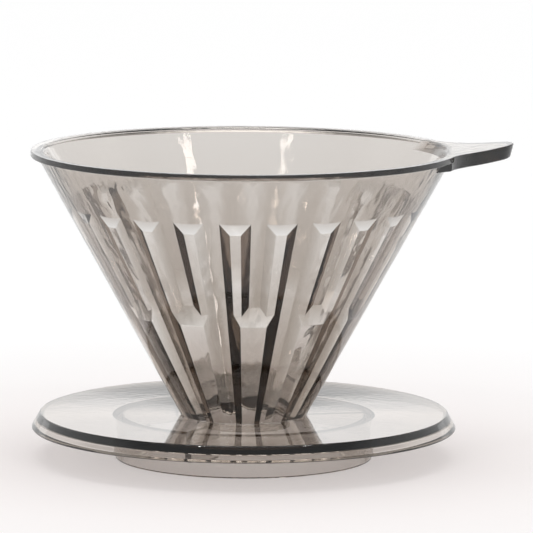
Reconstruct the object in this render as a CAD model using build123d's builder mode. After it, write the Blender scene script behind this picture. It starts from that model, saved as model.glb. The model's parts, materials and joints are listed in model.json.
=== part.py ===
from build123d import *

import os
from math import acos, degrees, hypot, isclose, radians, sin, tan

# Pour-over coffee dripper: a 60 degree brewing cone that lifts off its saucer base.
# Frame: the origin is on the cone's axis at the foot of the base's lower ring, +Z is up and the
# handle points along +X. Lengths are in millimetres, angles in degrees.

# Base: heights
ring_height = 8.2            # foot of the lower ring to the plate's lip
lip_height = 4.35            # lip of the plate, top edge to lower edge
plate_thickness = 2.75       # at its edge
plate_dish = 0.8             # the plate's top falls this much from its edge to the seat
web_foot = 3.6               # free height under the webs

# Base: radii
lip_flare = 2.5              # the lip's lower edge stands out this much from the top face
lip_wall = 2.35              # measured level
ring_radius = 35.4           # outside of the lower ring
ring_wall = 2.0
web_thickness = 1.8
web_count = 3
web_gap = 0.4                # from the key's slot to the end of a web
web_root = 1.0               # how far a web is rooted in the plate and the lower ring
plate_corner = 1.0           # where the lower ring meets the plate

# Brewing cone
filter_half_angle = 30.0     # standard angle of a conical filter paper
outlet_radius = 10.0
outlet_rise = 6.6            # foot of the lower ring to the top of the round outlet
outlet_lip = 1.9             # height of the round outlet
outlet_wall = 3.0
cone_height = 72.35          # top edge of the plate to the rim
wall_at_rim = 2.4            # measured level, across the wall
wall_at_seat = 4.3
rim_land = 3.3               # flat width on top of the rim
rim_depth = 1.6              # edge of the rim
rim_corner = 0.8             # under the rim
edge_break = 0.4             # chamfer on the outer edges of the rim, the handle and the base

# Seat of the cone in the base
shoulder = 1.9               # flat step that rests on the plate
seat_land = 1.0              # flat ring of the plate round the cone's foot
spigot_clearance = 0.08
spigot_lead = 0.6            # chamfer that leads the spigot into the plate's bore
key_width = 3.0
key_height = 1.0
key_root = 1.0               # how far the key is rooted in the spigot
key_clearance = 0.2

# Crystal-cut channels in the inside of the cone: widths are angles about the axis, depths are
# shares of the wall's radius, so that every facet runs towards the apex of the cone
channel_count = 12           # wide channels round the cone
narrow_offset = 7.45         # a pair of narrow channels stands this far either side
narrow_mouth = 10.1
narrow_floor = 3.55
narrow_depth = 0.0436
wide_depth = 0.0872
narrow_top = 14.1            # below the rim, where a narrow channel starts
narrow_slope = 3.2           # height of its top facet
wide_top = 37.9              # below the rim, where a wide channel starts
wide_slope = 6.2
wide_end = 73.0              # below the rim, where its floor ends
wide_end_slope = 2.1
mouth_spare = 0.05           # how far a channel's cutter stands out of the wall, into the bowl
channel_spare = 1.5          # length of a cutter before its end facets are cut, past each of them

# Handle
handle_length = 15.6         # rim to the tip
handle_tip_radius = 7.0
handle_taper = 34.0          # each side, towards the tip
handle_flare = 21.0          # radius that runs the handle into the rim
handle_thickness = 3.7
handle_rise = 1.7            # the tip stands this much above the rim
handle_lean = 15.0           # the end face leans in from its top edge

same_length = 0.001          # lengths closer than this are the same

# Levels and radii that follow
plate_top = ring_height + lip_height
plate_under = plate_top - plate_thickness
seat_height = plate_top - plate_dish
rim_top = plate_top + cone_height
slope = tan(radians(filter_half_angle))


def inner_radius(height):
    """Radius of the filter wall at a height."""
    return outlet_radius + (height - outlet_rise) * slope


def outer_radius(height):
    """Radius of the cone's outer wall, from the seat to the rim."""
    share = (height - seat_height) / (rim_top - seat_height)
    return inner_radius(height) + wall_at_seat + share * (wall_at_rim - wall_at_seat)


rim_radius = inner_radius(rim_top) + rim_land
handle_reach = rim_radius + handle_length
plate_radius = rim_radius - lip_flare        # the lip comes out level with the rim
seat_radius = outer_radius(seat_height)
spigot_radius = seat_radius - shoulder
bore_radius = spigot_radius + spigot_clearance


def circles(radius, height):
    """Circular edges of the part being built that have this radius, at this height."""
    found = edges().filter_by(GeomType.CIRCLE)
    found = found.filter_by(lambda edge: isclose(edge.radius, radius, abs_tol=same_length))
    return found.filter_by(lambda edge: isclose(edge.center().Z, height, abs_tol=same_length))


def on_wall(height):
    """Point of the filter wall at a height, as (radius, height)."""
    return inner_radius(height), height


def on_floor(height, depth):
    """Point of a channel's floor at a height, as (radius, height)."""
    return inner_radius(height) * (1 + depth), height


def facet_plane(upper, lower):
    """Plane of a channel's end facet through two (radius, height) points, facing the plastic."""
    run = Vector(lower[0] - upper[0], 0, lower[1] - upper[1])
    return Plane(origin=(upper[0], 0, upper[1]), x_dir=(0, 1, 0), z_dir=run.cross(Vector(0, 1, 0)))


def flank(offset, depth):
    """Point of a channel's flank at a depth behind a wall of radius 1.

    It is the flank of a narrow channel that is turned about the axis by the offset."""
    mouth = Vector(1, 0).rotate(Axis.Z, offset + narrow_mouth / 2)
    floor = Vector(1, tan(radians(narrow_floor / 2))) * (1 + narrow_depth)
    floor = floor.rotate(Axis.Z, offset)
    return mouth + (floor - mouth) * ((1 + depth - mouth.X) / (floor.X - mouth.X))


def channel_outline(height, offset, depth):
    """Level section of a channel, from its mouth in the bowl to its floor in the wall."""
    radius = inner_radius(height)
    mouth = flank(offset, -mouth_spare) * radius
    floor = flank(offset, depth) * radius
    return [(mouth.X, mouth.Y), (floor.X, floor.Y), (floor.X, -floor.Y), (mouth.X, -mouth.Y)]


def make_channel(offset, depth, low, high, end_facets):
    """Cutter for one channel on the +X side, between two heights, with its sloped ends."""
    with BuildPart() as channel:
        for level in (low, high + channel_spare):
            with BuildSketch(Plane.XY.offset(level)):
                Polygon(*channel_outline(level, offset, depth), align=None)
        loft(ruled=True)
        for upper, lower in end_facets:
            split(bisect_by=facet_plane(upper, lower), keep=Keep.BOTTOM)
    return channel.part


def make_narrow_channel():
    """One narrow channel, from its top facet down into the wide channel."""
    wall_end = rim_top - narrow_top
    floor_end = wall_end - narrow_slope
    merged = rim_top - wide_top - wide_slope - channel_spare
    top_facet = (on_wall(wall_end), on_floor(floor_end, narrow_depth))
    return make_channel(0, narrow_depth, merged, wall_end, [top_facet])


def make_wide_channel():
    """One wide channel, whose flanks run on from the outer flanks of the narrow pair."""
    wall_end = rim_top - wide_top
    floor_end = wall_end - wide_slope
    foot_floor = rim_top - wide_end
    foot_wall = foot_floor - wide_end_slope
    top_facet = (on_wall(wall_end), on_floor(floor_end, wide_depth))
    foot_facet = (on_floor(foot_floor, wide_depth), on_wall(foot_wall))
    low = foot_wall - channel_spare
    return make_channel(narrow_offset, wide_depth, low, wall_end, [top_facet, foot_facet])


def make_handle():
    """The flat tab at the rim: a plan outline cut to an upswept side view."""
    tip_centre = Vector(handle_reach - handle_tip_radius, 0)
    side_offset = tip_centre.X * sin(radians(handle_taper)) + handle_tip_radius
    flare_reach = rim_radius + handle_flare
    side_normal = 90 - handle_taper
    root_angle = side_normal - degrees(acos((side_offset + handle_flare) / flare_reach))
    root = Vector(rim_radius, 0).rotate(Axis.Z, root_angle)
    flare_centre = Vector(flare_reach, 0).rotate(Axis.Z, root_angle)
    with BuildPart() as handle:
        with BuildSketch(Plane.XY.offset(rim_top - handle_thickness)):
            with BuildLine():
                Line((0, 0), root)
                flare = CenterArc(
                    flare_centre, handle_flare, 180 + root_angle, side_normal - root_angle
                )
                tip = CenterArc(tip_centre, handle_tip_radius, 0, side_normal)
                Line(flare @ 1, tip @ 1)
                mirror(about=Plane.XZ)
            make_face()
        extrude(amount=handle_thickness + handle_rise)
        with BuildSketch(Plane.XZ):
            with BuildLine():
                top_flat = Line((0, rim_top), (root.X, rim_top))
                tip_top = (handle_reach, rim_top + handle_rise)
                top_curve = TangentArc(top_flat @ 1, tip_top, tangent=top_flat % 1)
                tip_foot = (handle_reach - handle_thickness * tan(radians(handle_lean)),
                            tip_top[1] - handle_thickness)
                end = Line(top_curve @ 1, tip_foot)
                under = rim_top - handle_thickness
                under_flat = Line((root.X, under), (0, under))
                TangentArc(under_flat @ 0, end @ 1, tangent=top_flat % 1)
                Line(under_flat @ 1, top_flat @ 0)
            make_face()
        extrude(amount=handle_reach, both=True, mode=Mode.INTERSECT)
        outline = edges().filter_by(lambda edge: hypot(edge.center().X, edge.center().Y) > rim_radius)
        chamfer(outline.filter_by(Axis.Z, reverse=True), edge_break)
    return handle.part


def make_cone():
    """The brewing cone: bowl, rim, handle, channels, outlet and the spigot that enters the base."""
    narrow_channel = make_narrow_channel()
    wide_channel = make_wide_channel()
    handle = make_handle()
    outlet_foot = outlet_rise - outlet_lip
    nozzle = outlet_radius + outlet_wall
    under_rim = outer_radius(rim_top - rim_depth)
    with BuildPart() as cone:
        with BuildSketch(Plane.XZ):
            with BuildLine():
                Polyline(
                    (0, outlet_foot),
                    (nozzle, outlet_foot),
                    (nozzle, plate_under),
                    (spigot_radius, plate_under),
                    (spigot_radius, seat_height),
                    (seat_radius, seat_height),
                    (under_rim, rim_top - rim_depth),
                    (rim_radius, rim_top - rim_depth),
                    (rim_radius, rim_top),
                    (0, rim_top),
                    close=True,
                )
            make_face()
        revolve(axis=Axis.Z)
        chamfer(circles(spigot_radius, plate_under), spigot_lead)
        chamfer(circles(under_rim, rim_top - rim_depth), rim_corner)
        chamfer(circles(rim_radius, rim_top), edge_break)
        chamfer(circles(rim_radius, rim_top - rim_depth), edge_break)
        add(handle)
        with BuildSketch(Plane.XZ):
            with BuildLine():
                Polyline(
                    (0, outlet_foot),
                    (outlet_radius, outlet_foot),
                    (outlet_radius, outlet_rise),
                    (inner_radius(rim_top), rim_top),
                    (inner_radius(rim_top), rim_top + handle_rise),
                    (0, rim_top + handle_rise),
                    close=True,
                )
            make_face()
        revolve(axis=Axis.Z, mode=Mode.SUBTRACT)
        with BuildSketch(Plane.XY.offset(plate_under)):
            with Locations((spigot_radius - key_root, 0)):
                Rectangle(key_root + key_height, key_width, align=(Align.MIN, Align.CENTER))
        extrude(amount=seat_height - plate_under - key_clearance)
        with PolarLocations(0, channel_count):
            add(wide_channel, mode=Mode.SUBTRACT)
        for side in (-narrow_offset, narrow_offset):
            with PolarLocations(0, channel_count, start_angle=side):
                add(narrow_channel, mode=Mode.SUBTRACT)
    return cone


def make_base():
    """The saucer base: dished plate with its flared lip and bore, lower ring and webs."""
    under_flare = lip_flare * plate_thickness / lip_height
    with BuildPart() as base:
        with BuildSketch(Plane.XZ):
            with BuildLine():
                Polyline(
                    (bore_radius, plate_under),
                    (ring_radius - ring_wall, plate_under),
                    (ring_radius - ring_wall, 0),
                    (ring_radius, 0),
                    (ring_radius, plate_under),
                    (plate_radius + under_flare - lip_wall, plate_under),
                    (plate_radius + lip_flare - lip_wall, ring_height),
                    (plate_radius + lip_flare, ring_height),
                    (plate_radius, plate_top),
                    (seat_radius + seat_land, seat_height),
                    (bore_radius, seat_height),
                    close=True,
                )
            make_face()
        revolve(axis=Axis.Z)
        slot_reach = spigot_radius + key_height + key_clearance
        web_start = slot_reach + web_gap
        web_length = ring_radius - ring_wall + web_root - web_start
        with BuildSketch(Plane.XY.offset(web_foot)):
            with PolarLocations(web_start, web_count):
                Rectangle(web_length, web_thickness, align=(Align.MIN, Align.CENTER))
        extrude(amount=plate_under + web_root - web_foot)
        with BuildSketch(Plane.XY.offset(plate_top)):
            slot_width = key_width + 2 * key_clearance
            Rectangle(slot_reach, slot_width, align=(Align.MIN, Align.CENTER))
        extrude(amount=-plate_thickness, mode=Mode.SUBTRACT)
        chamfer(circles(ring_radius, plate_under), plate_corner)
        chamfer(circles(plate_radius, plate_top), edge_break)
        chamfer(circles(plate_radius + lip_flare, ring_height), edge_break)
        chamfer(circles(ring_radius, 0), edge_break)
        chamfer(circles(ring_radius - ring_wall, 0), edge_break)
    return base


os.makedirs("parts", exist_ok=True)

brewing_cone = make_cone()
brewing_cone.part.label = "brewing_cone"
export_step(brewing_cone.part, "parts/brewing_cone.step")

saucer_base = make_base()
saucer_base.part.label = "saucer_base"
export_step(saucer_base.part, "parts/saucer_base.step")
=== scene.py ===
# %% [markdown]
# # A pour-over coffee dripper in clear smoked plastic
# The dripper is two mouldings: a 60 degree cone that holds the filter paper, and a round saucer
# base that stands on a cup or a server. Both are clear plastic with a little smoke-grey dye.
# Clear plastic shows its inside as well as its outside, so each moulding is made here as one
# watertight solid with true wall thickness, and light is left to find its own way through it.
# The frame already holds both as plain solids, each at the place where it belongs.

import json
from math import acos, cos, degrees, exp, hypot, pi, radians, sin, tan

import bmesh
import bpy
from mathutils import Matrix, Vector

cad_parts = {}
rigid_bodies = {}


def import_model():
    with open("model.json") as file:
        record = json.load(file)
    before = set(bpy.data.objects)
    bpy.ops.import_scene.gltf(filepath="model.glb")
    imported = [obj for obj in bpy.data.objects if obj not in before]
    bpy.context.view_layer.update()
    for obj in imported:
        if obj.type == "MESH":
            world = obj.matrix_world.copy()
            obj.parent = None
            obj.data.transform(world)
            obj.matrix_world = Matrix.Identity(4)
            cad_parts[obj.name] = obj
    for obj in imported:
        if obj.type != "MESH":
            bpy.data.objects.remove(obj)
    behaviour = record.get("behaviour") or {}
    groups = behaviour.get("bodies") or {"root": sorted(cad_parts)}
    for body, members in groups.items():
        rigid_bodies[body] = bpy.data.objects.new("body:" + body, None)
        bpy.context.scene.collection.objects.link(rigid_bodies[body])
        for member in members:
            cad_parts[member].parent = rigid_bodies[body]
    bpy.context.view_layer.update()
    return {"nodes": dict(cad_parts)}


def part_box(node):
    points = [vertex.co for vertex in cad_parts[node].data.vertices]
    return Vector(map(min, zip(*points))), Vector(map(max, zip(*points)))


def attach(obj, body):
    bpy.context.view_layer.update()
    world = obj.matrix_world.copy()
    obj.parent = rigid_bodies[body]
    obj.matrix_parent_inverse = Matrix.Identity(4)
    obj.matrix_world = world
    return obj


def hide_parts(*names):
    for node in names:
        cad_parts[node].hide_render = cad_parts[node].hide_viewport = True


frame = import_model()
print("CAD pieces:", sorted(frame["nodes"]))

# %% [markdown]
# ## Sizes that the frame gives
# Some heights and radii belong to both mouldings. They are measured on the frame's solids and not
# written down a second time, so that what is made here always fits them. The handle sweeps up
# past the rim, so the rim's height is measured on the side away from it. Modelling goes in
# millimetres, because the roundings are fractions of one, and each finished mesh is scaled to
# metres.

# %% Plate, rim and handle
mm = 0.001
plate_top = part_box("saucer_base")[1].z / mm
rim_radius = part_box("brewing_cone")[1].y / mm
handle_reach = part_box("brewing_cone")[1].x / mm
cone_points = [vertex.co for vertex in frame["nodes"]["brewing_cone"].data.vertices]
rim_top = max(point.z for point in cone_points if point.x < 0) / mm
print("plate's top at", round(plate_top, 2), "mm, rim at", round(rim_top, 2), "mm")
print("rim's radius", round(rim_radius, 2), "mm, handle's reach", round(handle_reach, 2), "mm")

# %% [markdown]
# ## The two sides of the cone's wall
# The inside of the wall is a plain cone of 60 degrees, which is the angle of a folded filter
# paper. The outside comes closer to it towards the rim: the wall is a little thicker at the foot,
# so that it draws out of its mould. Each side is written as a rule that gives its radius at a
# height. The section, the channels and the handle all take their places from these two rules.

# %% The inside
filter_half_angle = 30.0
outlet_radius = 10.0
outlet_rise = 6.6
slope = tan(radians(filter_half_angle))
apex = outlet_rise - outlet_radius / slope


def inner_radius(height):
    """Radius of the filter wall at a height."""
    return (height - apex) * slope


print("the filter wall's apex is at", round(apex, 2), "mm")

# %% The outside
plate_dish = 0.8
wall_at_rim = 2.4
wall_at_seat = 4.3
seat_height = plate_top - plate_dish


def outer_radius(height):
    """Radius of the cone's outer wall at a height."""
    share = (height - seat_height) / (rim_top - seat_height)
    return inner_radius(height) + wall_at_seat + share * (wall_at_rim - wall_at_seat)


seat_radius = outer_radius(seat_height)
print("wall", wall_at_rim, "mm at the rim,", wall_at_seat, "mm at the seat, where its radius is",
      round(seat_radius, 2), "mm")

# %% [markdown]
# ## Turning a section
# A round moulding could be stacked up from cylinders and rings, but it's easier as a section
# turned round its axis, as on a lathe, and then each corner can have a rounding of its own. The
# section is one flat face: a vertex bevel rounds its corners, and then its outline is spun. A
# clear piece bends light at every facet, so the turn takes many steps, and their number isn't a
# multiple of the channels', so that no seam of the turn lies along one.

# %% Turn a section
turning_steps = 340
round_steps = 3
same_place = 0.0005
on_axis = (0, 0, 0)
axis = (0, 0, 1)
sharp = 0


def turned(outline):
    """Closed solid from (radius, height, rounding) corners, turned round the axis."""
    shape = bmesh.new()
    corners = [shape.verts.new((radius, 0, height)) for radius, height, rounding in outline]
    shape.faces.new(corners)
    for corner, (radius, height, rounding) in zip(corners, outline):
        if rounding != sharp:
            bmesh.ops.bevel(shape, geom=[corner], offset=rounding, offset_type="OFFSET",
                            segments=round_steps, profile=0.5, affect="VERTICES", material=-1)
    bmesh.ops.delete(shape, geom=shape.faces[:], context="FACES_ONLY")
    bmesh.ops.spin(shape, geom=shape.verts[:] + shape.edges[:], cent=on_axis, axis=axis,
                   angle=2 * pi, steps=turning_steps, use_merge=True)
    bmesh.ops.remove_doubles(shape, verts=shape.verts, dist=same_place)
    bmesh.ops.recalc_face_normals(shape, faces=shape.faces)
    return shape


print("each step of a turn is", round(360 / turning_steps, 2), "degrees")

# %% Keep a shape as an object


def solid(name, shape):
    """Object that holds a bmesh, in the scene."""
    mesh = bpy.data.meshes.new(name)
    shape.to_mesh(mesh)
    shape.free()
    piece = bpy.data.objects.new(name, mesh)
    bpy.context.scene.collection.objects.link(piece)
    print(name, "made,", len(mesh.polygons), "faces")
    return piece


print("objects in the scene so far:", len(bpy.context.scene.collection.all_objects))

# %% [markdown]
# ## The cone's wall
# The section goes from the outlet round the outside to the rim, and back down the inside. At the
# foot a short spout lets the coffee out. Round it, a spigot fills the plate's bore, down to the
# plate's underside, and above the spigot a shoulder carries the cone. The shoulder really touches
# the plate, but two clear solids must not share a face, so a hair of air is left between them.
# The flat rim stands out from the wall, and a wide rounding leads from it down into the cone.
# Spout, spigot, wall and rim could be made one by one, but all of them are round, so one section
# holds them all and no wall is left inside the plastic.

# %% Heights and radii of the cone's section
outlet_lip = 1.9
outlet_wall = 3.0
shoulder = 1.9
plate_thickness = 2.75
rim_land = 3.3
rim_depth = 1.6
air_gap = 0.04
outlet_foot = outlet_rise - outlet_lip
spout_radius = outlet_radius + outlet_wall
plate_under = plate_top - plate_thickness
spigot_radius = seat_radius - shoulder
seat = seat_height + air_gap
under_rim = rim_top - rim_depth
print("spout's radius", spout_radius, "mm, spigot's", round(spigot_radius, 2), "mm")

# %% The cone's section, with its roundings, turned
spout_mouth_round = 0.25
spout_round = 0.5
spout_root_round = 0.4
spigot_round = 0.6
shoulder_round = 0.25
rim_root_round = 0.8
rim_round = 0.25
pouring_round = 1.5
outlet_round = 0.3

cone_section = [
    (outlet_radius, outlet_foot, spout_mouth_round),
    (spout_radius, outlet_foot, spout_round),
    (spout_radius, plate_under, spout_root_round),
    (spigot_radius, plate_under, spigot_round),
    (spigot_radius, seat, sharp),
    (outer_radius(seat), seat, shoulder_round),
    (outer_radius(under_rim), under_rim, rim_root_round),
    (rim_radius, under_rim, rim_round),
    (rim_radius, rim_top, rim_round),
    (rim_radius - rim_land, rim_top, pouring_round),
    (outlet_radius, outlet_rise, outlet_round),
]
cone = solid("clear_cone", turned(cone_section))

# %% [markdown]
# ## Crystal-cut channels
# Inside, the wall is cut with channels that let the coffee run down behind the paper. Twelve wide
# ones run up from near the outlet. Each ends in a long sloped facet, and above it two narrow ones
# carry its flanks on towards the rim. Light meets their facets from inside the plastic, so it's
# turned aside as in cut glass. A channel could be inset into the wall's own faces, but those are
# bent round the cone, and cut facets are flat. So what a channel takes away is made as a shape of
# its own. All its facets point at the apex of the cone, which makes it one level section,
# stretched and grown away from the apex: an extrude, and one scale about that point. Planes then
# cut its sloped ends.

# %% Sizes of the channels
# Angles are degrees round the axis, depths are shares of the wall's radius, and the ends are
# millimetres down from the rim.
channel_pairs = 12
narrow_offset = 7.45
narrow_mouth = 10.1
narrow_floor = 3.55
narrow_depth = 0.0436
narrow_top = 14.1
narrow_slope = 3.2
wide_depth = 0.0872
wide_top = 37.9
wide_slope = 6.2
wide_end = 73.0
wide_end_slope = 2.1
narrow_wall = rim_top - narrow_top
wide_wall = rim_top - wide_top
wide_low = rim_top - wide_end
print("wide channels up to", round(wide_wall, 1), "mm, narrow ones up to",
      round(narrow_wall, 1), "mm")

# %% Their sections
mouth_spare = 0.05


def along(start, end, reach):
    """Point at a distance from the axis on the line through two points."""
    return start + (end - start) * (reach - start.x) / (end.x - start.x)


def mirror_image(points):
    """The same points on the other side of the X axis, in the opposite order."""
    return [Vector((point.x, -point.y)) for point in reversed(points)]


half_mouth = radians(narrow_mouth / 2)
floor_radius = 1 + narrow_depth
at_wall = Vector((cos(half_mouth), sin(half_mouth)))
at_floor = Vector((floor_radius, floor_radius * tan(radians(narrow_floor / 2))))
narrow_flank = [along(at_wall, at_floor, 1 - mouth_spare), at_floor]
narrow_section = narrow_flank + mirror_image(narrow_flank)

# A wide channel's flank is the outer flank of a narrow one, and goes on down to a deeper floor.
turn = Matrix.Rotation(radians(narrow_offset), 2)
wide_flank = [along(turn @ at_wall, turn @ at_floor, 1 - mouth_spare),
              along(turn @ at_wall, turn @ at_floor, 1 + wide_depth)]
wide_section = wide_flank + mirror_image(wide_flank)
print("floors of", round(2 * narrow_flank[1].y, 3), "and", round(2 * wide_flank[1].y, 3),
      "on a wall of radius 1")

# %% Their sloped ends


def end_cut(wall_height, floor_height, depth):
    """Plane of a sloped end, through its height on the wall and its height on the floor."""
    at_wall = Vector((inner_radius(wall_height), 0, wall_height))
    at_floor = Vector((inner_radius(floor_height) * (1 + depth), 0, floor_height))
    normal = (at_floor - at_wall).cross(Vector((0, 1, 0)))
    return at_wall, normal if normal.x > 0 else -normal


narrow_ends = [end_cut(narrow_wall, narrow_wall - narrow_slope, narrow_depth)]
wide_ends = [end_cut(wide_wall, wide_wall - wide_slope, wide_depth),
             end_cut(wide_low - wide_end_slope, wide_low, wide_depth)]
print("sloped ends:", len(narrow_ends), "on a narrow channel,", len(wide_ends), "on a wide one")

# %% Short words for what operators take and give
fine_steps = 2


def whole(shape):
    """Everything that a bmesh holds, for an operator that takes all of it."""
    return shape.verts[:] + shape.edges[:] + shape.faces[:]


def corners_of(parts):
    """The corners among the parts that an operator gives back."""
    return [part for part in parts if isinstance(part, bmesh.types.BMVert)]


def round_edges(shape, edges, size, steps):
    """Rounds edges with a bevel."""
    bmesh.ops.bevel(shape, geom=edges, offset=size, offset_type="OFFSET", segments=steps,
                    profile=0.5, affect="EDGES", material=-1)


print("roundings take", round_steps, "steps, the smallest ones", fine_steps)

# %% One channel of each kind
end_spare = 1.5
channel_edge = 0.12


def depth_in_wall(point):
    """How far a point lies behind the filter wall's surface."""
    return hypot(point.x, point.y) - inner_radius(point.z)


def channel(section, low, ends):
    """What a channel on the +X side takes away, from its section for a wall of radius 1."""
    high = ends[0][0].z + end_spare
    shape = bmesh.new()
    foot = shape.faces.new([
        shape.verts.new((point.x * inner_radius(low), point.y * inner_radius(low), low))
        for point in section
    ])
    raised = bmesh.ops.extrude_face_region(shape, geom=[foot])["geom"]
    growth = (high - apex) / (low - apex)
    bmesh.ops.scale(shape, verts=corners_of(raised), vec=(growth, growth, growth),
                    space=Matrix.Translation((0, 0, -apex)))
    for point, normal in ends:
        cut = bmesh.ops.bisect_plane(shape, geom=whole(shape), plane_co=point, plane_no=normal,
                                     clear_outer=True)
        outline = [part for part in cut["geom_cut"] if isinstance(part, bmesh.types.BMEdge)]
        bmesh.ops.edgeloop_fill(shape, edges=outline)
    bmesh.ops.recalc_face_normals(shape, faces=shape.faces)
    in_wall = {face for face in shape.faces if depth_in_wall(face.calc_center_median()) > 0}
    edges = [edge for edge in shape.edges if all(face in in_wall for face in edge.link_faces)]
    round_edges(shape, edges, channel_edge, fine_steps)
    return shape


narrow_channel = channel(narrow_section, wide_wall - wide_slope - end_spare, narrow_ends)
wide_channel = channel(wide_section, wide_low - wide_end_slope - end_spare, wide_ends)
print("channels of", len(narrow_channel.faces), "and", len(wide_channel.faces), "faces")

# %% [markdown]
# ## Channels all round
# Each wide channel has a narrow one at either side of its middle. So the narrow channel is swung
# to one side and a copy of it to the other, and then spin repeats each shape round the axis: with
# use_duplicate it makes copies instead of drawing faces between the steps.

# %% Swing and repeat


def swing(shape, corners, angle):
    """Turns corners of a shape round the axis."""
    bmesh.ops.rotate(shape, verts=corners, cent=on_axis, matrix=Matrix.Rotation(angle, 3, "Z"))


def round_the_axis(shape):
    """Copies a shape to every channel's place round the axis."""
    copies = channel_pairs - 1
    bmesh.ops.spin(shape, geom=whole(shape), cent=on_axis, axis=axis,
                   angle=2 * pi / channel_pairs * copies, steps=copies, use_duplicate=True)
    return shape


swing(narrow_channel, narrow_channel.verts, radians(-narrow_offset))
twin = bmesh.ops.duplicate(narrow_channel, geom=whole(narrow_channel))["geom"]
swing(narrow_channel, corners_of(twin), radians(2 * narrow_offset))
wide_channels = solid("wide_channels", round_the_axis(wide_channel))
narrow_channels = solid("narrow_channels", round_the_axis(narrow_channel))

# %% [markdown]
# ## The handle
# The handle is a flat tab that grows out of the rim: two flares, two straight sides and a round
# tip, swept up a little towards the end. It could be modelled by hand from a box, but arcs give
# its smooth outline directly. The outline is drawn flat, extruded down, and cut across into
# strips so that it can bend. Its sides lean in towards the bottom. At the root it runs into the
# rim and ends inside the plastic, a little further round than the flares do, so that no step
# shows where the two join.

# %% The handle's outline
handle_tip_radius = 7.0
handle_taper = radians(34.0)
handle_flare = 21.0
handle_inset = 2.1
root_overlap = radians(6.0)
arc_steps = 14


def arc(centre, radius, start, end):
    """Points of an arc in plan, both ends included."""
    angles = [start + (end - start) * step / arc_steps for step in range(arc_steps + 1)]
    return [centre + radius * Vector((cos(angle), sin(angle))) for angle in angles]


tip_centre = Vector((handle_reach - handle_tip_radius, 0))
side_normal = pi / 2 - handle_taper
side_offset = tip_centre.x * sin(handle_taper) + handle_tip_radius
flare_reach = rim_radius + handle_flare
root_angle = side_normal - acos((side_offset + handle_flare) / flare_reach)
flare_centre = flare_reach * Vector((cos(root_angle), sin(root_angle)))
inner_end = inner_radius(rim_top) + handle_inset
half_outline = (arc(Vector((0, 0)), inner_end, 0, root_angle + root_overlap)
                + arc(flare_centre, handle_flare, pi + root_angle, pi + side_normal)
                + arc(tip_centre, handle_tip_radius, side_normal, 0))
handle_outline = half_outline + mirror_image(half_outline[1:-1])
print("handle's root spans", round(degrees(2 * root_angle), 1), "degrees of the rim")

# %% The handle's body
handle_thickness = 3.7
handle_lean = radians(15.0)
edge_round = 0.4
root_x = rim_radius * cos(root_angle)

handle = bmesh.new()
top = handle.faces.new([handle.verts.new((*point, rim_top)) for point in handle_outline])
under = corners_of(bmesh.ops.extrude_face_region(handle, geom=[top])["geom"])
bmesh.ops.translate(handle, verts=under, vec=(0, 0, -handle_thickness))
root_end = [vert for vert in under if hypot(vert.co.x, vert.co.y) < inner_end + same_place]
follow = inner_radius(rim_top - handle_thickness) / inner_radius(rim_top)
bmesh.ops.scale(handle, verts=root_end, vec=(follow, follow, 1))
lean = 1 - handle_thickness * tan(handle_lean) / (handle_reach - root_x)
bmesh.ops.scale(handle, verts=[vert for vert in under if vert.co.x > root_x], vec=(lean, 1, 1),
                space=Matrix.Translation((-root_x, 0, 0)))
bmesh.ops.recalc_face_normals(handle, faces=handle.faces)
outline_edges = [
    edge for edge in handle.edges
    if abs(edge.verts[0].co.z - edge.verts[1].co.z) < same_place
    and min(hypot(vert.co.x, vert.co.y) for vert in edge.verts) > inner_end + same_place
]
round_edges(handle, outline_edges, edge_round, round_steps)
print("rounded", len(outline_edges), "edges of the handle")

# %% The handle's upward sweep
handle_rise = 1.65
strip = 0.8
free_length = handle_reach - root_x
for count in range(1, int(free_length / strip) + 1):
    bmesh.ops.bisect_plane(handle, geom=whole(handle), plane_co=(root_x + count * strip, 0, 0),
                           plane_no=(1, 0, 0))
for vert in handle.verts:
    share = max(0, vert.co.x - root_x) / free_length
    vert.co.z += handle_rise * share ** 2
handle_tab = solid("handle_tab", handle)

# %% [markdown]
# ## Key and slot
# A small key stands beside the spigot and drops into a slot in the plate, so that the handle
# always comes to rest over a web. A turned section is the same all round and can't hold them, so
# both are plain blocks: one is joined to the cone here, and one, a little larger all round, is
# cut from the plate later.

# %% The key
key_width = 3.0
key_height = 1.0
key_root = 1.0
key_clearance = 0.2


def block(name, low, high):
    """Block between two corners, to join to a moulding or cut from it."""
    shape = bmesh.new()
    corners = bmesh.ops.create_cube(shape, size=1)["verts"]
    bmesh.ops.scale(shape, verts=corners, vec=high - low)
    bmesh.ops.translate(shape, verts=corners, vec=(low + high) / 2)
    return solid(name, shape)


key = block("key", Vector((spigot_radius - key_root, -key_width / 2, plate_under)),
            Vector((spigot_radius + key_height, key_width / 2, seat_height - key_clearance)))

# %% [markdown]
# ## One moulding
# The real cone comes out of its mould in one piece, and light must find no walls inside it. Parts
# that only overlap would keep theirs, so a Boolean modifier joins them to one skin and cuts the
# channels. The Manifold solver is quick and exact with closed shapes such as these. The
# modifiers' result is then kept as the piece's own mesh.

# %% Join, then cut


def combine(body, operation, tools):
    """Joins the tools to the body or cuts them from it, and keeps the result as its mesh."""
    for tool in tools:
        step = body.modifiers.new(tool.name, "BOOLEAN")
        step.operation = operation
        step.solver = "MANIFOLD"
        step.object = tool
    graph = bpy.context.evaluated_depsgraph_get()
    mesh = bpy.data.meshes.new_from_object(body.evaluated_get(graph))
    body.modifiers.clear()
    body.data = mesh
    for tool in tools:
        bpy.data.objects.remove(tool)
    print(body.name, operation.lower(), len(mesh.polygons), "faces")


combine(cone, "UNION", [handle_tab, key])
combine(cone, "DIFFERENCE", [wide_channels, narrow_channels])

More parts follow.
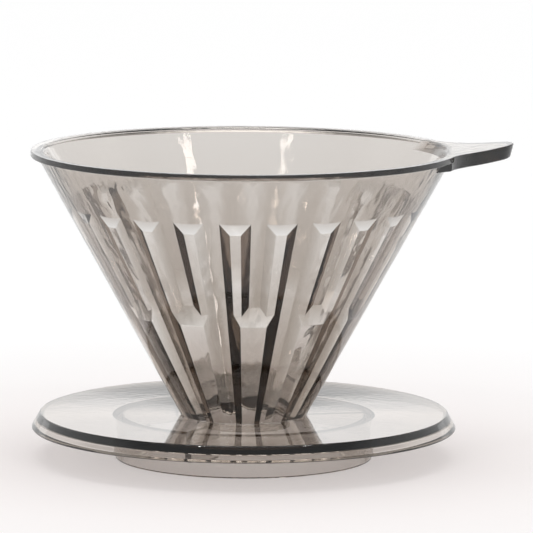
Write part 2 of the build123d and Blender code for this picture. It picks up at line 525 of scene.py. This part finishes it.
# %% [markdown]
# ## The saucer base
# The base is turned from one section too: the plate, a little dished towards its bore, with its
# lip that flares out to the width of the rim, and the lower ring that hangs inside a cup. The
# ring could be a tube added later, but in the section it gets its fillet where it meets the
# plate. The lip's wall is even, so its inner side leans as its outer side does.

# %% Heights and radii of the base's section
lip_height = 4.35
lip_flare = 2.5
lip_wall = 2.35
ring_radius = 35.4
ring_wall = 2.0
seat_land = 1.0
spigot_clearance = 0.08
lip_radius = rim_radius
lip_foot = plate_top - lip_height
plate_radius = lip_radius - lip_flare
under_flare = lip_flare * plate_thickness / lip_height
ring_inside = ring_radius - ring_wall
bore_radius = spigot_radius + spigot_clearance
print("plate's radius", round(plate_radius, 2), "mm, bore's", round(bore_radius, 2), "mm")

# %% The base's section, with its roundings, turned
bore_foot_round = 0.3
bore_round = 0.2
ring_corner_round = 0.3
ring_root_round = 0.9
lip_corner_round = 0.4
lip_inner_round = 0.5
lip_round = 0.6

base_section = [
    (bore_radius, plate_under, bore_foot_round),
    (ring_inside, plate_under, ring_corner_round),
    (ring_inside, 0, edge_round),
    (ring_radius, 0, edge_round),
    (ring_radius, plate_under, ring_root_round),
    (plate_radius + under_flare - lip_wall, plate_under, lip_corner_round),
    (lip_radius - lip_wall, lip_foot, lip_inner_round),
    (lip_radius, lip_foot, lip_round),
    (plate_radius, plate_top, edge_round),
    (seat_radius + seat_land, seat_height, sharp),
    (bore_radius, seat_height, bore_round),
]
base = solid("clear_base", turned(base_section))

# %% [markdown]
# ## The webs
# Three thin webs run out under the plate to the ring, and keep it flat. They start a little
# further out than the slot reaches, which leaves the key its room. Each is a rectangle extruded up
# into the plate, with its two long lower edges rounded. Its top lies a little inside the plate
# and its outer end inside the ring, because a Boolean joins two shapes cleanly only where they
# overlap.

# %% Three webs
web_count = 3
web_foot = 3.6
web_thickness = 1.8
web_root = 1.0
web_gap = 0.4
web_round = 0.3
slot_reach = spigot_radius + key_height + key_clearance
web_start = slot_reach + web_gap
web_end = ring_inside + web_root


def web(name, angle):
    """Web under the plate, at an angle round the axis."""
    shape = bmesh.new()
    foot = bmesh.ops.create_grid(shape, x_segments=1, y_segments=1, size=0.5)["verts"]
    bmesh.ops.scale(shape, verts=foot, vec=(web_end - web_start, web_thickness, 1))
    bmesh.ops.translate(shape, verts=foot, vec=((web_end + web_start) / 2, 0, web_foot))
    raised = bmesh.ops.extrude_face_region(shape, geom=shape.faces[:])["geom"]
    bmesh.ops.translate(shape, verts=corners_of(raised),
                        vec=(0, 0, plate_under + web_root - web_foot))
    bmesh.ops.recalc_face_normals(shape, faces=shape.faces)
    lower = [edge for edge in shape.edges if max(vert.co.z for vert in edge.verts) < plate_under]
    long_edges = [edge for edge in lower
                  if abs(edge.verts[0].co.x - edge.verts[1].co.x) > web_thickness]
    round_edges(shape, long_edges, web_round, fine_steps)
    swing(shape, shape.verts, angle)
    return solid(name, shape)


webs = [web("web_" + str(count + 1), 2 * pi * count / web_count) for count in range(web_count)]
combine(base, "UNION", webs)

# %% [markdown]
# ## The slot
# The slot is the key's block again, wider and longer by the clearance. It starts inside the bore
# and goes right through the plate, and the cone's shoulder covers it from above.

# %% Cut the slot
slot_side = key_width / 2 + key_clearance
slot = block("slot", Vector((spigot_radius - key_root, -slot_side, plate_under - key_root)),
             Vector((slot_reach, slot_side, plate_top)))
combine(base, "DIFFERENCE", [slot])

# %% [markdown]
# ## Surfaces
# Flat shading would show every step of the turn, and smooth shading alone would blur the facets.
# So curved walls are shaded smooth and every real edge stays sharp. Weighted normals keep the
# large flat faces flat right up to their rounded edges, which matters more in clear plastic than
# in any other, because a bent normal there bends all that's seen through it.

# %% Smooth walls, sharp facets
crease_angle = radians(17)
large_faces_first = 80


def finish_surface(piece):
    """Scales a finished moulding to metres and sets how its surface is shaded."""
    mesh = piece.data
    mesh.transform(Matrix.Scale(mm, 4))
    mesh.shade_smooth()
    mesh.set_sharp_from_angle(angle=crease_angle)
    weighting = piece.modifiers.new("flat_faces_first", "WEIGHTED_NORMAL")
    weighting.keep_sharp = True
    weighting.weight = large_faces_first
    sharp_edges = sum(1 for edge in mesh.attributes["sharp_edge"].data if edge.value)
    print(piece.name, len(mesh.vertices), "corners,", sharp_edges, "sharp edges")


finish_surface(cone)
finish_surface(base)

# %% [markdown]
# ## What a mould leaves on a surface
# Clear plastic is never quite even. The mould's polish and the flow of the plastic leave faint
# waves and, finer than these, ripples that run down the wall, and handling leaves a haze that is
# stronger here and there. Modelled as geometry they would need millions of faces, so they are
# noise in the material. Both mouldings have them, each in its own strength: one node group makes
# a height for a Bump node and a roughness, and its inputs set how strong they are. It reads
# Object coordinates, so the pattern keeps its size and stays on the plastic when the cone moves.

# %% The node group and its sockets
moulded_surface = bpy.data.node_groups.new("moulded_surface", "ShaderNodeTree")
for name in ("Wave scale", "Ripple", "Haze"):
    moulded_surface.interface.new_socket(name, in_out="INPUT", socket_type="NodeSocketFloat")
for name in ("Waves", "Roughness"):
    moulded_surface.interface.new_socket(name, in_out="OUTPUT", socket_type="NodeSocketFloat")
nodes, links = moulded_surface.nodes, moulded_surface.links
given = nodes.new("NodeGroupInput")
result = nodes.new("NodeGroupOutput")
place = nodes.new("ShaderNodeTexCoord")
print("sockets:", [socket.name for socket in moulded_surface.interface.items_tree])

# %% Waves, with ripples on them
wave_detail = 1
ripple_scale = 450
ripple_detail = 0
ripple_stretch = 0.35

waves = nodes.new("ShaderNodeTexNoise")
waves.inputs["Detail"].default_value = wave_detail
links.new(place.outputs["Object"], waves.inputs["Vector"])
links.new(given.outputs["Wave scale"], waves.inputs["Scale"])
stretched = nodes.new("ShaderNodeMapping")
stretched.inputs["Scale"].default_value = (1, 1, ripple_stretch)
links.new(place.outputs["Object"], stretched.inputs["Vector"])
ripples = nodes.new("ShaderNodeTexNoise")
ripples.inputs["Scale"].default_value = ripple_scale
ripples.inputs["Detail"].default_value = ripple_detail
links.new(stretched.outputs["Vector"], ripples.inputs["Vector"])
relief = nodes.new("ShaderNodeMath")
relief.operation = "MULTIPLY_ADD"
links.new(ripples.outputs["Fac"], relief.inputs[0])
links.new(given.outputs["Ripple"], relief.inputs[1])
links.new(waves.outputs["Fac"], relief.inputs[2])
links.new(relief.outputs["Value"], result.inputs["Waves"])
print("a ripple is about", round(1 / ripple_scale / mm, 1), "mm wide and",
      round(1 / ripple_scale / ripple_stretch / mm, 1), "mm long")

# %% Haze
smudge_scale = 60
smudge_detail = 6
clean_below = 0.3
dull_above = 0.75

smudge = nodes.new("ShaderNodeTexNoise")
smudge.inputs["Scale"].default_value = smudge_scale
smudge.inputs["Detail"].default_value = smudge_detail
links.new(place.outputs["Object"], smudge.inputs["Vector"])
amount = nodes.new("ShaderNodeMapRange")
amount.inputs["From Min"].default_value = clean_below
amount.inputs["From Max"].default_value = dull_above
links.new(smudge.outputs["Fac"], amount.inputs["Value"])
links.new(given.outputs["Haze"], amount.inputs["To Max"])
links.new(amount.outputs["Result"], result.inputs["Roughness"])
print("the group has", len(nodes), "nodes")

# %% [markdown]
# ## Clear smoked plastic
# The grey isn't on the surface. It's dye all through the plastic, so light loses a share of its
# strength for each millimetre that it travels: a thin wall looks pale, and a long way round
# inside the rim or the handle comes out nearly black. A grey surface colour would darken every
# wall alike. So the surface is left colourless, with full transmission, and a Volume Absorption
# node holds the dye. Its colour is what the dye lets through, which is a little warm.

# %% The dye
dye_density = 225
dye_colour = (0.33, 0.23, 0.13, 1)
left_over = [exp(-dye_density * (1 - part) * mm) for part in dye_colour[:3]]
print("red, green and blue left after 1 mm:", [round(part, 2) for part in left_over])

# %% The plastic's material
colourless = (1, 1, 1, 1)
plastic_ior = 1.57
wave_scale = 60


def clear_plastic(name, wave_height, ripple, haze):
    """Clear plastic with smoke dye all through it."""
    material = bpy.data.materials.new(name)
    material.use_nodes = True
    nodes, links = material.node_tree.nodes, material.node_tree.links
    surface = nodes["Principled BSDF"]
    surface.inputs["Base Color"].default_value = colourless
    surface.inputs["Transmission Weight"].default_value = 1
    surface.inputs["IOR"].default_value = plastic_ior
    moulded = nodes.new("ShaderNodeGroup")
    moulded.node_tree = moulded_surface
    moulded.inputs["Wave scale"].default_value = wave_scale
    moulded.inputs["Ripple"].default_value = ripple
    moulded.inputs["Haze"].default_value = haze
    links.new(moulded.outputs["Roughness"], surface.inputs["Roughness"])
    bump = nodes.new("ShaderNodeBump")
    bump.inputs["Strength"].default_value = 1
    bump.inputs["Distance"].default_value = wave_height
    links.new(moulded.outputs["Waves"], bump.inputs["Height"])
    links.new(bump.outputs["Normal"], surface.inputs["Normal"])
    dye = nodes.new("ShaderNodeVolumeAbsorption")
    dye.inputs["Color"].default_value = dye_colour
    dye.inputs["Density"].default_value = dye_density
    links.new(dye.outputs["Volume"], nodes["Material Output"].inputs["Volume"])
    print(name, "has waves", round(wave_height / mm, 3), "mm high and haze up to", haze)
    return material


cone.data.materials.clear()
cone.data.materials.append(
    clear_plastic("cone_plastic", wave_height=0.05 * mm, ripple=0.7, haze=0.1))
base.data.materials.clear()
base.data.materials.append(
    clear_plastic("base_plastic", wave_height=0.03 * mm, ripple=0.2, haze=0.03))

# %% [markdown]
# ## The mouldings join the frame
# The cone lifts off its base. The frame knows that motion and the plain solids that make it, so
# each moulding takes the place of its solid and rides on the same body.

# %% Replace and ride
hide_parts("brewing_cone")
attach(cone, "cone")
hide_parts("saucer_base")
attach(base, "base")
print(cone.name, "rides on cone,", base.name, "rides on base")

# %% [markdown]
# ## Floor
# Clear plastic has no look of its own without surroundings. The floor is a plain pale sheet,
# nearly white further out, with a painted shadow round the dripper: near it the colour is
# rosy-grey and darker. A matt sheet alone would leave the plastic over it dull, because its shadow
# darkens all that shows through. So the sheet is a little lit from below, as a light table is: a
# share of its surface is a glow. The camera sees the glow, also in mirrors and through clear
# walls, but Light Path's Is Diffuse Ray keeps it from lighting anything else.

# %% The floor's sheet, its pale colour and its painted shadow colour
floor_size = 8.0
# The near colour is a painted shadow round the dripper. It is full up to the first reach and fades
# out by the second.
painted_shadow_colour = (0.93, 0.88, 0.87, 1)
far_colour = (0.99, 0.99, 0.99, 1)
painted_shadow_full_reach = 0.05
painted_shadow_end_reach = 0.22

floor_shape = bmesh.new()
bmesh.ops.create_grid(floor_shape, x_segments=1, y_segments=1, size=floor_size / 2)
floor = solid("floor", floor_shape)
floor_paint = bpy.data.materials.new("floor_paint")
floor_paint.use_nodes = True
floor.data.materials.append(floor_paint)
nodes, links = floor_paint.node_tree.nodes, floor_paint.node_tree.links
spot = nodes.new("ShaderNodeTexCoord")
away = nodes.new("ShaderNodeVectorMath")
away.operation = "LENGTH"
links.new(spot.outputs["Object"], away.inputs[0])
painted_shadow_fade = nodes.new("ShaderNodeMapRange")
painted_shadow_fade.inputs["From Min"].default_value = painted_shadow_full_reach
painted_shadow_fade.inputs["From Max"].default_value = painted_shadow_end_reach
links.new(away.outputs["Value"], painted_shadow_fade.inputs["Value"])
floor_with_painted_shadow = nodes.new("ShaderNodeMix")
floor_with_painted_shadow.data_type = "RGBA"
floor_with_painted_shadow.inputs["A"].default_value = painted_shadow_colour
floor_with_painted_shadow.inputs["B"].default_value = far_colour
links.new(painted_shadow_fade.outputs["Result"], floor_with_painted_shadow.inputs["Factor"])
print("floor", floor_size, "m across, palest from", painted_shadow_end_reach, "m out")

# %% The floor's paint and glow
paint_roughness = 0.9
paint_gloss = 0
table_glow = 0.48

paint = nodes["Principled BSDF"]
paint.inputs["Roughness"].default_value = paint_roughness
paint.inputs["Specular IOR Level"].default_value = paint_gloss
# The paint and the glow both take this colour, so both carry the painted shadow near the dripper.
links.new(floor_with_painted_shadow.outputs["Result"], paint.inputs["Base Color"])
glow = nodes.new("ShaderNodeEmission")
links.new(floor_with_painted_shadow.outputs["Result"], glow.inputs["Color"])
seen = nodes.new("ShaderNodeLightPath")
not_lighting = nodes.new("ShaderNodeMath")
not_lighting.operation = "SUBTRACT"
not_lighting.inputs[0].default_value = 1
links.new(seen.outputs["Is Diffuse Ray"], not_lighting.inputs[1])
glow_share = nodes.new("ShaderNodeMath")
glow_share.operation = "MULTIPLY"
glow_share.inputs[1].default_value = table_glow
links.new(not_lighting.outputs["Value"], glow_share.inputs[0])
table = nodes.new("ShaderNodeMixShader")
links.new(glow_share.outputs["Value"], table.inputs["Fac"])
links.new(paint.outputs["BSDF"], table.inputs[1])
links.new(glow.outputs["Emission"], table.inputs[2])
links.new(table.outputs["Shader"], nodes["Material Output"].inputs["Surface"])
print("glow makes up", table_glow, "of the floor's surface")

# %% [markdown]
# ## Sky
# The sky stands for a studio. All round at the foot is a white backdrop, with a brighter band low
# down on it for the flat plate, the rim and the handle to mirror. Above it come darker walls,
# which give the dripper's edges something to show, and overhead a large soft light. It could be
# built from screens and lamps, but a colour ramp over the direction's height is plain to read and
# to change, and every side of the dripper sees the same light.

# %% Backdrop, walls and overhead light
# Each step is a height and the brightness there.
straight_down = -1.0
straight_up = 1.0
sky_steps = [
    (straight_down, 1.0), (0.09, 1.0),
    (0.115, 1.38), (0.185, 1.38),
    (0.2, 0.9), (0.56, 0.9),
    (0.66, 0.5), (0.84, 0.5),
    (0.92, 2.0),
]
brightest = max(level for rise, level in sky_steps)
print("sky of", len(sky_steps), "steps, at most", brightest)

# %% The sky as a world
world = bpy.data.worlds.new("studio")
world.use_nodes = True
nodes, links = world.node_tree.nodes, world.node_tree.links
direction = nodes.new("ShaderNodeTexCoord")
axes = nodes.new("ShaderNodeSeparateXYZ")
links.new(direction.outputs["Generated"], axes.inputs["Vector"])
height = nodes.new("ShaderNodeMapRange")
height.inputs["From Min"].default_value = straight_down
height.inputs["From Max"].default_value = straight_up
links.new(axes.outputs["Z"], height.inputs["Value"])
walls = nodes.new("ShaderNodeValToRGB")
ramp = walls.color_ramp.elements
while len(ramp) < len(sky_steps):
    ramp.new(1.0)
for element, (rise, level) in zip(ramp, sky_steps):
    element.position = (rise - straight_down) / (straight_up - straight_down)
    element.color = (level / brightest, level / brightest, level / brightest, 1)
links.new(height.outputs["Result"], walls.inputs["Fac"])
links.new(walls.outputs["Color"], nodes["Background"].inputs["Color"])
nodes["Background"].inputs["Strength"].default_value = brightest
bpy.context.scene.world = world
print("the ramp has", len(ramp), "colours")

# %% [markdown]
# ## Two small lamps
# The sky is soft, and soft light alone makes plastic look dry. Two small round lamps in front of
# the dripper, high up to either side, add the glints. A cone mirrors a lamp as a thin bright line
# down its wall, and these stand where that line falls inside the far wall, one each side of its
# middle. They could be larger and weaker, but then the glints would spread to a pale patch. What
# a glint shows is a lamp's brightness, so that is what's set, and the power follows from it and
# the size of the disk.

# %% Lamps
# Each lamp's angles, in degrees: to the right as seen from the front, and up.
lamp_places = {"right_lamp": (40.0, 49.0), "left_lamp": (-35.0, 50.0)}
lamp_reach = 1.6
lamp_radius = 0.055
lamp_brightness = 30.0
for name, (turned_right, raised_up) in lamp_places.items():
    lamp_data = bpy.data.lights.new(name, "AREA")
    lamp_data.shape = "DISK"
    lamp_data.size = 2 * lamp_radius
    lamp_data.energy = lamp_brightness * pi * pi * lamp_radius ** 2
    lamp = bpy.data.objects.new(name, lamp_data)
    bpy.context.scene.collection.objects.link(lamp)
    side, up = radians(turned_right), radians(raised_up)
    toward = Vector((sin(side) * cos(up), -cos(side) * cos(up), sin(up)))
    lamp.location = toward * lamp_reach
    lamp.rotation_euler = toward.to_track_quat("Z", "Y").to_euler()
    print(name, round(lamp_data.energy, 3), "W")

# %% [markdown]
# ## Camera
# The dripper is seen from a little above its middle, through a long lens, with the handle to the
# right and turned slightly away. The place is worked out from an aim on the axis and two angles,
# which is easier to think about than three coordinates.

# %% Camera
aim = Vector((0, 0, 0.05264))
distance = 1.39288
elevation = radians(7.99)
azimuth = radians(-4.5)
roll = radians(0.25)
camera_data = bpy.data.cameras.new("camera")
camera_data.lens = 343.3
camera_data.sensor_width = 36
camera_data.shift_x = 0.0416
camera = bpy.data.objects.new("camera", camera_data)
bpy.context.scene.collection.objects.link(camera)
camera.location = aim + distance * Vector((sin(azimuth) * cos(elevation),
                                           -cos(azimuth) * cos(elevation), sin(elevation)))
look = (aim - camera.location).to_track_quat("-Z", "Y").to_matrix()
camera.rotation_euler = (look @ Matrix.Rotation(roll, 3, "Z")).to_euler()
bpy.context.scene.camera = camera
print("camera at", [round(value, 3) for value in camera.location], "m")

# %% [markdown]
# ## Settings that belong to the scene
# The Standard view shows each colour about as it's written. A ray that crosses the dripper goes
# in and out of plastic many times, and one that runs out of bounces comes back black, so clear
# walls get more bounces than usual.

# %% View and bounces
clear_bounces = 32
gloss_bounces = 16
scene = bpy.context.scene
scene.view_settings.view_transform = "Standard"
scene.cycles.max_bounces = clear_bounces
scene.cycles.transmission_bounces = clear_bounces
scene.cycles.glossy_bounces = gloss_bounces
print("rays may bounce", clear_bounces, "times")
